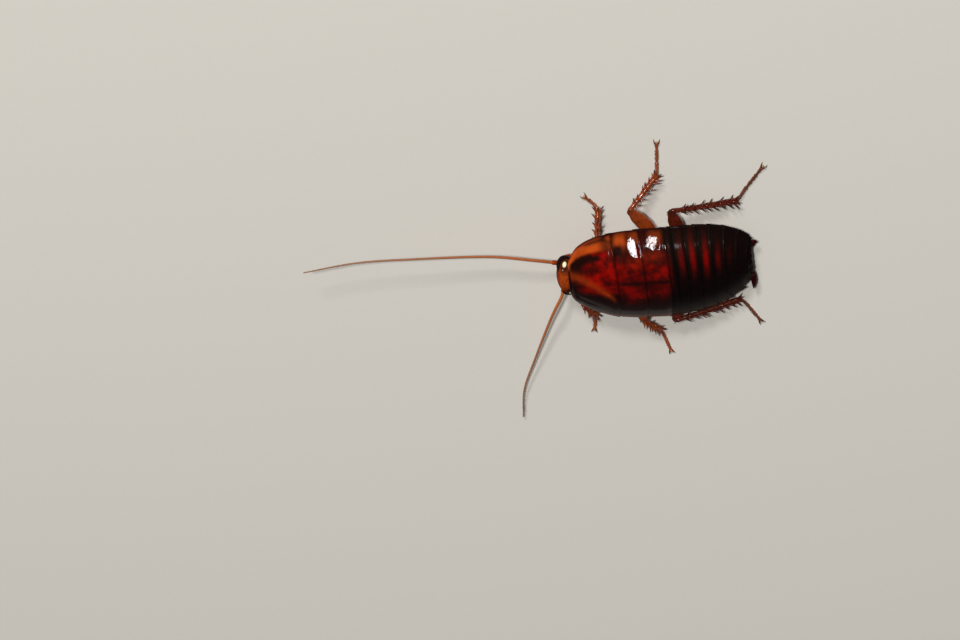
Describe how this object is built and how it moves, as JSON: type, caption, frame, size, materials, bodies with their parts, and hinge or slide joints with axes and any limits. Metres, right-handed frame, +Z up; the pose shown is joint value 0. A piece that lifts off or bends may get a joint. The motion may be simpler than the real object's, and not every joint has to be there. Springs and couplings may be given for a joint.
{
  "type": "florida woods cockroach",
  "caption": "Life-size still model of a wingless wood cockroach: broad glossy shield-like body plates, spiny legs and long feelers, standing on its feet.",
  "frame": {"origin": "on the floor, under the middle of the whole animal's box, feelers and feet included", "axes": "the head faces -X, the animal's right side is +Y, +Z is up; +X is the longest extent and +Z the shortest"},
  "size_m": [0.0804, 0.0536, 0.0081],
  "materials": {
    "shell": "glossy translucent red-brown cuticle with amber sides and dark seams",
    "dark_shell": "glossy near-black cuticle with dark red bands towards the front",
    "underside": "smooth brown cuticle",
    "head": "glossy orange-brown cuticle",
    "eye": "glossy black compound eye",
    "leg": "glossy orange-brown to dark red-brown cuticle with spines",
    "feeler": "fine ringed feeler, orange-brown fading to tan at the tip"
  },
  "bodies": {
    "root": {"pronotum": "shell", "mesonotum": "shell", "metanotum": "shell", "thorax": "underside", "abdomen": "dark_shell", "head": "head", "eye_left": "eye", "eye_right": "eye", "mouthparts": "head", "jaw_palp_left": "leg", "jaw_palp_right": "leg", "lip_palp_left": "leg", "lip_palp_right": "leg", "scape_left": "head", "scape_right": "head", "antenna_left": "feeler", "antenna_right": "feeler", "cercus_left": "dark_shell", "cercus_right": "dark_shell", "coxa_front_left": "leg", "coxa_middle_left": "leg", "coxa_hind_left": "leg", "coxa_front_right": "leg", "coxa_middle_right": "leg", "coxa_hind_right": "leg", "femur_front_left": "leg", "femur_middle_left": "leg", "femur_hind_left": "leg", "femur_front_right": "leg", "femur_middle_right": "leg", "femur_hind_right": "leg", "tibia_front_left": "leg", "tibia_middle_left": "leg", "tibia_hind_left": "leg", "tibia_front_right": "leg", "tibia_middle_right": "leg", "tibia_hind_right": "leg", "tarsus_front_left": "leg", "tarsus_middle_left": "leg", "tarsus_hind_left": "leg", "tarsus_front_right": "leg", "tarsus_middle_right": "leg", "tarsus_hind_right": "leg"}
  },
  "joints": []
}
